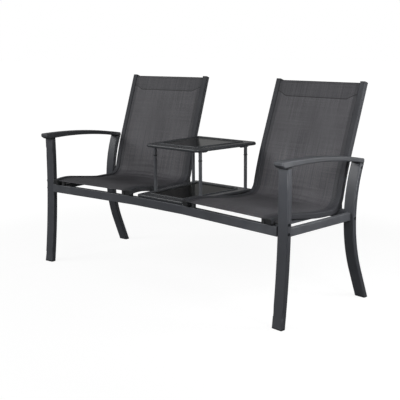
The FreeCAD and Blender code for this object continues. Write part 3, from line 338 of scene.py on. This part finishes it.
def grid_faces(rows, cols, flip):
    faces = []
    for i in range(rows - 1):
        for j in range(cols - 1):
            a = i * cols + j
            quad = (a, a + 1, a + cols + 1, a + cols)
            faces.append(tuple(reversed(quad)) if flip else quad)
    return faces


def thicken(cloth, thickness, even=False):
    layer = cloth.modifiers.new("cloth", "SOLIDIFY")
    layer.thickness = thickness
    layer.offset = 0.0
    layer.use_even_offset = even


# Materials

def linear(value):
    c = value / 255
    return c / 12.92 if c <= 0.04045 else ((c + 0.055) / 1.055) ** 2.4


def shade(red, green, blue):
    return linear(red), linear(green), linear(blue), 1.0


def scaled(colour, factor):
    return tuple(c * factor for c in colour[:3]) + (1,)


class Nodes:
    """A material's node tree with short ways to add and join nodes."""

    def __init__(self, name):
        self.material = bpy.data.materials.new(name)
        self.material.use_nodes = True
        self.tree = self.material.node_tree
        self.tree.nodes.clear()
        self.out = self.add("ShaderNodeOutputMaterial")
        self.bsdf = self.add("ShaderNodeBsdfPrincipled")
        self.join(self.bsdf.outputs[0], self.out.inputs["Surface"])

    def add(self, kind, **values):
        node = self.tree.nodes.new(kind)
        for key, value in values.items():
            setattr(node, key, value)
        return node

    def join(self, source, target):
        self.tree.links.new(source, target)

    def drive(self, socket, source):
        """Joins a varying value to one of the shader's sockets."""
        self.join(source, self.bsdf.inputs[socket])

    def set(self, values):
        """Uniform values, set on the shader's own sockets."""
        for socket, value in values.items():
            self.bsdf.inputs[socket].default_value = value

    def feed(self, node, socket, value):
        if isinstance(value, bpy.types.NodeSocket):
            self.join(value, node.inputs[socket])
        else:
            node.inputs[socket].default_value = value

    def math(self, operation, a, b=0.0):
        node = self.add("ShaderNodeMath", operation=operation)
        self.feed(node, 0, a)
        self.feed(node, 1, b)
        return node.outputs[0]

    def mix(self, share, first, second):
        node = self.add("ShaderNodeMix", data_type="RGBA")
        self.feed(node, 0, share)
        self.feed(node, 6, first)
        self.feed(node, 7, second)
        return node.outputs[2]

    def span(self, value, low, high, to_low, to_high, kind="LINEAR"):
        """to_low to to_high while value runs from low to high."""
        node = self.add("ShaderNodeMapRange", interpolation_type=kind)
        for index, item in enumerate((value, low, high, to_low, to_high)):
            self.feed(node, index, item)
        return node.outputs[0]

    def ramp(self, value, low, high, to_low, to_high):
        return self.span(value, low, high, to_low, to_high, "SMOOTHSTEP")

    def spread(self, noise, to_low, to_high):
        """A noise, most of which lies from 0.3 to 0.7, spread from to_low to to_high."""
        return self.span(noise, 0.3, 0.7, to_low, to_high)

    def line(self, value, centre, half_width):
        """1 where value equals centre, falling softly to 0 at half_width from it."""
        off = self.math("ABSOLUTE", self.math("SUBTRACT", value, centre))
        return self.ramp(off, half_width * 0.35, half_width, 1.0, 0.0)

    def noise(self, vector, scale, detail, rough):
        node = self.add("ShaderNodeTexNoise")
        self.join(vector, node.inputs["Vector"])
        node.inputs["Scale"].default_value = scale
        node.inputs["Detail"].default_value = detail
        node.inputs["Roughness"].default_value = rough
        return node.outputs["Fac"]

    def cloth_noise(self, uv, per_u, per_v, detail, rough, share):
        node = self.add("ShaderNodeMapping")
        self.join(uv, node.inputs["Vector"])
        node.inputs["Scale"].default_value = (per_u, per_v, 1.0)
        return self.math("MULTIPLY", self.noise(node.outputs[0], 1.0, detail, rough), share)

    def object_place(self):
        return self.add("ShaderNodeTexCoord").outputs["Object"]

    def bump(self, height, distance):
        node = self.add("ShaderNodeBump")
        self.join(height, node.inputs["Height"])
        node.inputs["Distance"].default_value = distance
        self.drive("Normal", node.outputs[0])


def coat(name, colour, edge_wear_and_highlight_colour, rough, grain, depth, uniform):
    """A coat with a fine orange-peel grain, slight unevenness of tone and paler edges, partly wear and
    partly a painted highlight.
    """
    n = Nodes(name)
    where = n.object_place()
    fine = n.noise(where, grain, 1.0, 0.4)
    broad = n.noise(where, *BLOTCHES)
    edge = n.add("ShaderNodeNewGeometry").outputs["Pointiness"]
    # Paler sharp edges: partly wear, partly a painted highlight
    edge_wear_and_highlight = n.math("MULTIPLY", n.span(edge, *EDGE_WEAR_AND_HIGHLIGHT, 0.0, 1.0), n.span(broad, 0.4, 0.7, *EDGE_WEAR_AND_HIGHLIGHT_SHARE))
    base = shade(*colour)
    toned = n.mix(n.spread(broad, 0.0, 1.0), scaled(base, 1 - TONE_SWING), scaled(base, 1 + TONE_SWING))
    n.drive("Base Color", n.mix(edge_wear_and_highlight, toned, shade(*edge_wear_and_highlight_colour)))
    n.drive("Roughness", n.spread(fine, *rough))
    n.bump(fine, depth)
    n.set(uniform)
    return n.material


def panel_glass(name, gloss):
    """Near-black glass with a soft sheen and a little dust."""
    n = Nodes(name)
    where = n.object_place()
    broad = n.noise(where, *SHEEN)
    tone = n.mix(n.spread(broad, 0.0, 1.0), shade(*GLASS_TONES[0]), shade(*GLASS_TONES[1]))
    dust = n.span(n.noise(where, *SPECKS), 0.66, 0.78, 0.0, DUST_SHARE)
    n.drive("Base Color", n.mix(dust, tone, shade(*DUST_TONE)))
    n.drive("Roughness", n.span(broad, 0.25, 0.75, *GLASS_ROUGH))
    n.bump(n.noise(where, *WAVINESS), GLASS_DEPTH)
    n.set({"Specular IOR Level": gloss})
    return n.material


def woven_height(n, u, v):
    """Height of the mesh, where warp and weft lie on top by turns."""
    across = n.math("SINE", n.math("MULTIPLY", u, math.pi / WARP_PITCH))
    along = n.math("SINE", n.math("MULTIPLY", v, math.pi / WEFT_PITCH))
    over = n.math("GREATER_THAN", n.math("MULTIPLY", across, along), 0.0)
    warp = n.math("POWER", n.math("ABSOLUTE", across), 0.6)
    weft = n.math("POWER", n.math("ABSOLUTE", along), 0.6)
    return n.math("ADD", n.math("MULTIPLY", warp, over),
                  n.math("MULTIPLY", weft, n.math("SUBTRACT", 1.0, over)))


def yarn_colour(n, uv):
    """Melange yarn: streaks along the warp, weaker ones along the weft and broad clouds."""
    streaks, cross, clouds = (n.cloth_noise(uv, *values) for values in (STREAKS, CROSS_STREAKS, CLOUDS))
    tone = n.math("ADD", streaks, n.math("ADD", cross, clouds))
    return n.mix(n.spread(tone, 0.0, 1.0), shade(*YARN_TONES[0]), shade(*YARN_TONES[1]))


def doubled_and_dark_lines(n, u, v):
    """How much each place is darkened by a second layer, and by painted shade along the seam's groove and
    darker lines near the top edge.
    """
    edge = n.math("ABSOLUTE", n.math("SUBTRACT", u, CLOTH_MIDDLE))
    hem_start = CLOTH_HALF - SIDE_HEM
    side_hem = n.span(edge, hem_start - 0.0015, hem_start + 0.0005, 0.0, SIDE_HEM_STRENGTH)
    below = n.math("SUBTRACT", CLOTH_TOP, v)
    seam = n.ramp(n.math("SUBTRACT", CLOTH_HALF, edge), 0.0, HEM_END_RUN, TOP_HEM - HEM_END_RISE, TOP_HEM)
    under_seam = n.math("SUBTRACT", below, seam)
    pocket = n.ramp(under_seam, -0.001, 0.001, POCKET_STRENGTH, 0.0)
    # Painted shade along the seam, standing for its groove
    lines = n.line(under_seam, 0.0, SEAM_HALF_WIDTH)
    for drop, half_width, strength in (BAR_LINE, TOP_LINE):
        line = n.math("MULTIPLY", n.line(below, drop, half_width), strength)
        lines = n.math("MAXIMUM", lines, line)
    return n.math("MAXIMUM", side_hem, pocket), n.math("MULTIPLY", lines, DARK_LINE_STRENGTH)


def sling_fabric():
    """Coated polyester mesh, darker between its yarns and where it is doubled, with painted shade along its
    seam and darker lines near its top edge.
    """
    n = Nodes("sling_fabric")
    uv = n.add("ShaderNodeTexCoord").outputs["UV"]
    split = n.add("ShaderNodeSeparateXYZ")
    n.join(uv, split.inputs[0])
    u, v = split.outputs[0], split.outputs[1]
    height = woven_height(n, u, v)
    cloth = n.mix(n.span(height, 0.0, 0.75, 0.0, 1.0), shade(*MESH_GAP_TONE), yarn_colour(n, uv))
    doubled, painted_seam_shade_and_top_lines = doubled_and_dark_lines(n, u, v)
    darkened = n.mix(doubled, cloth, shade(*DOUBLED_TONE))
    # Painted shade along the seam, and the darker lines near the top edge
    n.drive("Base Color", n.mix(painted_seam_shade_and_top_lines, darkened, shade(*DARK_LINE_TONE)))
    n.drive("Roughness", n.span(height, 0.0, 1.0, *CLOTH_ROUGH))
    n.bump(height, WEAVE_DEPTH)
    n.set({"Specular IOR Level": CLOTH_GLOSS})
    return n.material


def thread():
    """Dark sewing thread with the fine ridges of its twist."""
    n = Nodes("thread")
    twist = n.noise(n.object_place(), *TWIST)
    n.drive("Base Color", n.mix(twist, shade(*THREAD_TONES[0]), shade(*THREAD_TONES[1])))
    n.bump(twist, TWIST_DEPTH)
    n.set({"Roughness": THREAD_ROUGH})
    return n.material


def add_materials():
    made = {name: coat(name, *values) for name, values in COATS.items()}
    for name, gloss in GLASSES.items():
        made[name] = panel_glass(name, gloss)
    made["sling_fabric"] = sling_fabric()
    made["thread"] = thread()
    return made


# Slings

def smooth_step(low, high, value):
    t = min(1.0, max(0.0, (value - low) / (high - low)))
    return t * t * (3 - 2 * t)


def across_at(u):
    """-1 at the inner rail and 1 at the outer one."""
    return -1 + 2 * (u - CLOTH_IN) / (CLOTH_OUT - CLOTH_IN)


def stand_off(s, across):
    """How far the cloth leaves the straight line between the rails: the bend pulls it forward in the
    middle and folds it into fine ripples, and the rest lies in slight waves."""
    span = 1 - across * across
    begun = smooth_step(BEND_START - PULL_COMES[0], BEND_START + PULL_COMES[1], s)
    ended = smooth_step(BEND_END - PULL_GOES[0], BEND_END + PULL_GOES[1], s)
    inside = begun * (1 - ended)
    ripple = 0.0
    if inside > 0:
        bow = RIPPLE_BOW * across * across
        phase = (s - BEND_START + bow) * 2 * math.pi / RIPPLE_PITCH
        skew, offset = RIPPLE_UNEVEN_TURNS
        uneven = 1 - RIPPLE_UNEVEN + RIPPLE_UNEVEN * math.sin(skew * across + offset)
        ripple = RIPPLE_DEPTH * inside * inside * math.sin(phase) * uneven * (span ** 0.5)
    wave = WAVE_DEPTH * math.sin(WAVE_TURNS[0] * s + WAVE_TURNS[1] * across) * span
    return PULL * inside * span + ripple + wave


def cloth_point(u, s, lift, across, side):
    v, z = on_rail(s, lift + stand_off(s, across))
    return place(u, v, z, side)


def hem_depth(across):
    """Distance of the top hem's seam below the top edge; it rises towards both rails."""
    near = CLOTH_HALF * (1 - abs(across))
    return TOP_HEM - HEM_END_RISE * (1 - smooth_step(0, HEM_END_RUN, near))


FOLD = CLOTH_THICK / 2 + LAYER_GAP / 2
MAIN_START = FRONT_SETBACK + FOLD
ROLL = POCKET_DROP / 2
MAIN_END = CLOTH_TOP - ROLL - CLOTH_THICK / 2
HEM_ROWS = 5
FOLD_ROWS = 6
MAIN_ROWS = 190
ROLL_ROWS = 9
POCKET_ROWS = 14
CLOTH_COLS = 61


def sling_rows():
    """Rows of the cloth from the end of the front hem, round its fold, up the seat and back, over the
    top bar and down to the hem's seam: (kind, distance or share, lift)."""
    rows = []
    for k in range(HEM_ROWS + 1):
        where = FRONT_HEM - (FRONT_HEM - MAIN_START) * k / HEM_ROWS
        rows.append(("hem", where, CLOTH_LIFT - 2 * FOLD))
    for k in range(1, FOLD_ROWS):
        a = math.pi * k / FOLD_ROWS
        rows.append(("fold", MAIN_START - FOLD * math.sin(a), CLOTH_LIFT - FOLD - FOLD * math.cos(a)))
    for k in range(MAIN_ROWS + 1):
        rows.append(("main", MAIN_START + (MAIN_END - MAIN_START) * k / MAIN_ROWS, CLOTH_LIFT))
    for k in range(1, ROLL_ROWS):
        a = math.pi * k / ROLL_ROWS
        rows.append(("roll", MAIN_END + ROLL * math.sin(a), CLOTH_LIFT - ROLL + ROLL * math.cos(a)))
    for k in range(POCKET_ROWS + 1):
        rows.append(("pocket", k / POCKET_ROWS, CLOTH_LIFT - POCKET_DROP))
    return rows


def row_reach(kind, where):
    """How far a row reaches past the face of each rail: into the groove, or short of it in the hems."""
    if kind != "main":
        return -HEM_GAP
    entered = smooth_step(0, GROOVE_ENTRY, where - FRONT_SETBACK)
    still_in = smooth_step(0, GROOVE_ENTRY, MAIN_END - where)
    return -HEM_GAP + (GROOVE_REACH + HEM_GAP) * entered * still_in


def add_sling(side, tag):
    """One stretched cloth as a single sheet, doubled under its front edge and round the top bar."""
    rows = sling_rows()
    verts = []
    uvs = []
    for kind, where, lift in rows:
        reach = row_reach(kind, where)
        for j in range(CLOTH_COLS):
            across = -1 + 2 * j / (CLOTH_COLS - 1)
            u = CLOTH_MIDDLE + across * (CLOTH_HALF + reach)
            s = where
            rise = lift
            if kind == "pocket":
                s = MAIN_END - where * (hem_depth(across) - ROLL)
                closed = smooth_step(POCKET_CLOSES_FROM, 1.0, where)
                rise = lift + (POCKET_DROP - CLOTH_THICK - LAYER_GAP) * closed
            verts.append(cloth_point(u, s, rise, across, side))
            uvs.append((u, s if kind == "main" else s + WEAVE_SHIFT))
    cloth = add_mesh(tag + "_sling_cloth", verts, grid_faces(len(rows), CLOTH_COLS, side < 0), uvs)
    thicken(cloth, CLOTH_THICK, even=True)
    return cloth


STRIP_ROWS = 170
STRIP_COLS = 5


def add_side_hem(side, tag, rail, rail_name):
    """The doubled strip behind the cloth beside one rail, which holds the cord."""
    edge = CLOTH_IN if rail < 0 else CLOTH_OUT
    start = FRONT_HEM + SIDE_HEM_FRONT_GAP
    end = CLOTH_TOP - TOP_HEM - SIDE_HEM_TOP_GAP
    verts = []
    uvs = []
    for i in range(STRIP_ROWS + 1):
        s = start + (end - start) * i / STRIP_ROWS
        for j in range(STRIP_COLS):
            inward = SIDE_HEM_GAP + (SIDE_HEM - SIDE_HEM_GAP) * j / (STRIP_COLS - 1)
            u = edge - rail * inward
            verts.append(cloth_point(u, s, CLOTH_LIFT - CLOTH_THICK, across_at(u), side))
            uvs.append((u, s))
    faces = grid_faces(STRIP_ROWS + 1, STRIP_COLS, side * rail > 0)
    strip = add_mesh(tag + "_side_hem_" + rail_name, verts, faces, uvs)
    thicken(strip, CLOTH_THICK - LAYER_GAP)
    return strip


# Stitches

def seam_lines():
    """The sewn lines of one sling, each a list of (u, s) points."""
    seams = []
    count = int((CLOTH_TOP - TOP_HEM - SIDE_SEAM_STOP) / SEAM_STEP)
    for rail, edge in ((-1, CLOTH_IN), (1, CLOTH_OUT)):
        u = edge - rail * (SIDE_HEM - SIDE_SEAM_INSET)
        seams.append([(u, FRONT_HEM + SIDE_SEAM_START + k * SEAM_STEP) for k in range(count)])
    for lower in TOP_SEAMS:
        seam = []
        for k in range(CLOTH_COLS):
            across = (-1 + 2 * k / (CLOTH_COLS - 1)) * TOP_SEAM_REACH
            seam.append((CLOTH_MIDDLE + across * CLOTH_HALF, CLOTH_TOP - hem_depth(across) + lower))
        seams.append(seam)
    start = CLOTH_IN + SIDE_SEAM_START
    count = int((CLOTH_OUT - SIDE_SEAM_START - start) / SEAM_STEP)
    seams.append([(start + k * SEAM_STEP, FRONT_HEM - FRONT_SEAM_INSET) for k in range(count)])
    return seams


def stitches_along(seam):
    """Centre and direction of each stitch along a seam given as (u, s) points."""
    found = []
    ahead = 0.0
    for (u0, s0), (u1, s1) in zip(seam, seam[1:]):
        length = math.hypot(u1 - u0, s1 - s0)
        du, ds = (u1 - u0) / length, (s1 - s0) / length
        while ahead <= length:
            found.append((u0 + du * ahead, s0 + ds * ahead, du, ds))
            ahead += STITCH_PITCH
        ahead -= length
    return found


# The cloth's front face, and the back face of the hem behind it
FRONT_FACE = CLOTH_LIFT + CLOTH_THICK / 2
BACK_FACE = CLOTH_LIFT - CLOTH_THICK * 3 / 2

# One stitch: six points round its foot, two on its back, along the seam, across it and outwards
FOOT = ((-1, 0), (-0.5, 1), (0.5, 1), (1, 0), (0.5, -1), (-0.5, -1))
STITCH_POINTS = [(STITCH_HALF_LENGTH * a, STITCH_HALF_WIDTH * b, 0 if b else -STITCH_SINK) for a, b in FOOT]
STITCH_POINTS += [(STITCH_HALF_LENGTH * a, 0, STITCH_HEIGHT) for a in (-0.45, 0.45)]
STITCH_FACES = ((0, 1, 6), (1, 2, 7, 6), (2, 3, 7), (3, 4, 7), (4, 5, 6, 7), (5, 0, 6), (5, 4, 3, 2, 1, 0))


def add_stitching(side, tag):
    """Rows of short thread stitches on the hems, front and back."""
    verts = []
    faces = []
    for seam in seam_lines():
        for face, lift in ((1, FRONT_FACE), (-1, BACK_FACE)):
            for u, s, du, ds in stitches_along(seam):
                base = len(verts)
                for a, b, c in STITCH_POINTS:
                    at_u = u + du * a - ds * b
                    at_s = s + ds * a + du * b
                    verts.append(cloth_point(at_u, at_s, lift + face * c, across_at(at_u), side))
                for corners in STITCH_FACES:
                    ring = tuple(base + corner for corner in corners)
                    faces.append(ring if face * side > 0 else tuple(reversed(ring)))
    return add_mesh(tag + "_sling_stitching", verts, faces)


# Welds

def add_beads(name, paths):
    """Weld beads: a rippled round ridge along each closed path of points."""
    verts = []
    faces = []
    for path in paths:
        count = len(path)
        base = len(verts)
        centre = sum(path, Vector()) / count
        for i, point in enumerate(path):
            ahead = (path[(i + 1) % count] - path[i - 1]).normalized()
            outward = point - centre
            outward = (outward - ahead * outward.dot(ahead)).normalized()
            third = ahead.cross(outward)
            swell = BEAD * (1 + BEAD_RIPPLE * math.sin(i * math.pi / 2))
            for k in range(BEAD_RING):
                a = 2 * math.pi * k / BEAD_RING
                verts.append(point + outward * (swell * math.cos(a)) + third * (swell * math.sin(a)))
        for i in range(count):
            here = base + i * BEAD_RING
            there = base + ((i + 1) % count) * BEAD_RING
            for k in range(BEAD_RING):
                after = (k + 1) % BEAD_RING
                faces.append((here + k, there + k, there + after, here + after))
    return add_mesh(name, verts, faces)


def ring_path(u, v, z, radius, side, count=40):
    """Points round a tube that meets a face square to u."""
    turns = [2 * math.pi * k / count for k in range(count)]
    return [place(u, v + radius * math.cos(a), z + radius * math.sin(a), side) for a in turns]


def frame_path(u, z, width, height, face, side, count=15):
    """Points round a flat tube that meets a curved face; face gives v at a height."""
    corners = [(-1, -1), (1, -1), (1, 1), (-1, 1)]
    points = []
    for (a0, b0), (a1, b1) in zip(corners, corners[1:] + corners[:1]):
        for k in range(count):
            t = (k + 0.5) / count
            a, b = a0 + (a1 - a0) * t, b0 + (b1 - b0) * t
            high = z + b * height / 2
            points.append(place(u + a * width / 2, face(high), high, side))
    return points


def front_leg_back(z):
    crest_v, crest_z, radius = FRONT_LEG
    return crest_v - radius + math.sqrt(radius ** 2 - (z - crest_z) ** 2) + LEG_DEPTH


def rear_leg_face(z):
    crest_v, crest_z, radius = REAR_LEG
    return crest_v + radius - math.sqrt(radius ** 2 - (z - crest_z) ** 2)


def front_rail_back(z):
    """The same at every height, because the rail is straight."""
    return FRONT_RAIL_DEPTH


def add_welds(side, tag):
    """Beads at both ends of the spreaders and of the side rail, and at the strut's front end."""
    out = BEAD * BEAD_STANDS_OUT
    paths = []
    for s in SPREADERS:
        v, z = on_rail(s, -SPREADER_DROP)
        for u in (CLOTH_IN + out, CLOTH_OUT - out):
            paths.append(ring_path(u, v, z, SPREADER_DIA / 2 + out, side))
    rail_u = CHAIR_WIDTH - SIDE_RAIL_INSET - SIDE_RAIL_WIDTH / 2
    rail_z = SIDE_RAIL_TOP - SIDE_RAIL_HEIGHT / 2
    for face in (front_leg_back, rear_leg_face):
        paths.append(frame_path(rail_u, rail_z, SIDE_RAIL_WIDTH, SIDE_RAIL_HEIGHT, face, side))
    strut_u = OUTER_RAIL_U + RAIL_WIDTH / 2
    strut_z = STRUT_TOP - STRUT_HEIGHT / 2
    paths.append(frame_path(strut_u, strut_z, STRUT_WIDTH, STRUT_HEIGHT, front_rail_back, side))
    return add_beads(tag + "_weld_beads", paths)


# Camera, lamps, world and floor

def add_camera():
    data = bpy.data.cameras.new("camera")
    camera = bpy.data.objects.new("camera", data)
    bpy.context.scene.collection.objects.link(camera)
    camera.location = CAMERA_PLACE
    camera.rotation_euler = (math.radians(90 - CAMERA_DIP), 0, math.radians(CAMERA_TURN))
    data.sensor_width = CAMERA_SENSOR
    data.lens = CAMERA_LENS
    data.shift_x, data.shift_y = CAMERA_SHIFT
    bpy.context.scene.camera = camera


def add_lamp(name, place_at, aim, size, power, spread):
    data = bpy.data.lights.new(name, "AREA")
    data.shape = "RECTANGLE"
    data.size, data.size_y = size
    data.energy = power
    data.spread = math.radians(spread)
    lamp = bpy.data.objects.new(name, data)
    bpy.context.scene.collection.objects.link(lamp)
    lamp.visible_camera = False
    lamp.location = place_at
    lamp.rotation_euler = (Vector(aim) - Vector(place_at)).to_track_quat("-Z", "Y").to_euler()


def add_world():
    """A dim even surround that shows paler in glossy faces and white to the camera."""
    world = bpy.data.worlds.new("studio")
    bpy.context.scene.world = world
    world.use_nodes = True
    tree = world.node_tree
    tree.nodes.clear()
    out = tree.nodes.new("ShaderNodeOutputWorld")
    path = tree.nodes.new("ShaderNodeLightPath")

    def surround(strength):
        node = tree.nodes.new("ShaderNodeBackground")
        node.inputs["Color"].default_value = WHITE
        node.inputs["Strength"].default_value = strength
        return node.outputs[0]

    def chosen(ray, first, second):
        node = tree.nodes.new("ShaderNodeMixShader")
        tree.links.new(path.outputs[ray], node.inputs[0])
        tree.links.new(first, node.inputs[1])
        tree.links.new(second, node.inputs[2])
        return node.outputs[0]

    shown = chosen("Is Glossy Ray", surround(WORLD_STRENGTH), surround(WORLD_GLOSS))
    tree.links.new(chosen("Is Camera Ray", shown, surround(1.0)), out.inputs[0])


def add_floor():
    """A floor that looks white to the camera and keeps the object's shadow round its feet."""
    r = FLOOR_REACH
    corners = [(-r, -r, 0), (r, -r, 0), (r, r, 0), (-r, r, 0)]
    floor = add_mesh("floor", corners, [(0, 1, 2, 3)], smooth=False)
    n = Nodes("floor")
    n.set({"Base Color": scaled(WHITE, FLOOR_TONE), "Roughness": 0.9, "Specular IOR Level": 0.1})
    glow = n.add("ShaderNodeEmission")
    glow.inputs["Color"].default_value = WHITE
    path = n.add("ShaderNodeLightPath")
    away = n.add("ShaderNodeVectorMath", operation="LENGTH")
    n.join(n.object_place(), away.inputs[0])
    level = n.ramp(away.outputs["Value"], GLOW_FROM, GLOW_FULL, FLOOR_GLOW, 1.0)
    n.join(n.math("MULTIPLY", path.outputs["Is Camera Ray"], level), glow.inputs["Strength"])
    both = n.add("ShaderNodeAddShader")
    n.join(n.bsdf.outputs[0], both.inputs[0])
    n.join(glow.outputs[0], both.inputs[1])
    n.join(both.outputs[0], n.out.inputs["Surface"])
    floor.data.materials.append(n.material)


# Put together

def dress(obj, material):
    obj.data.materials.clear()
    obj.data.materials.append(material)


def material_of(name):
    """The slings' own nodes get none: the cloths stand for them."""
    for material, words in WORDS_OF.items():
        if any(word in name for word in words):
            return material
    return None


def add_chair(side, tag, made):
    """The cloth of one chair with its hems and stitches, and the welds round it."""
    cloth = add_sling(side, tag)
    hems = [add_side_hem(side, tag, -1, "inner"), add_side_hem(side, tag, 1, "outer")]
    stitches = add_stitching(side, tag)
    for piece in [cloth] + hems:
        dress(piece, made["sling_fabric"])
        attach(piece, "root")
    dress(stitches, made["thread"])
    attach(stitches, "root")
    welds = add_welds(side, tag)
    dress(welds, made["graphite_steel"])
    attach(welds, "root")
    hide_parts(tag + "_sling")


def build():
    add_camera()
    add_world()
    for lamp in LAMPS:
        add_lamp(*lamp)
    add_floor()
    made = add_materials()
    for name, obj in nodes.items():
        material = material_of(name)
        if material:
            dress(obj, made[material])
    for side, tag in SIDES:
        add_chair(side, tag, made)


build()
scene = bpy.context.scene
scene.view_settings.view_transform = "Standard"
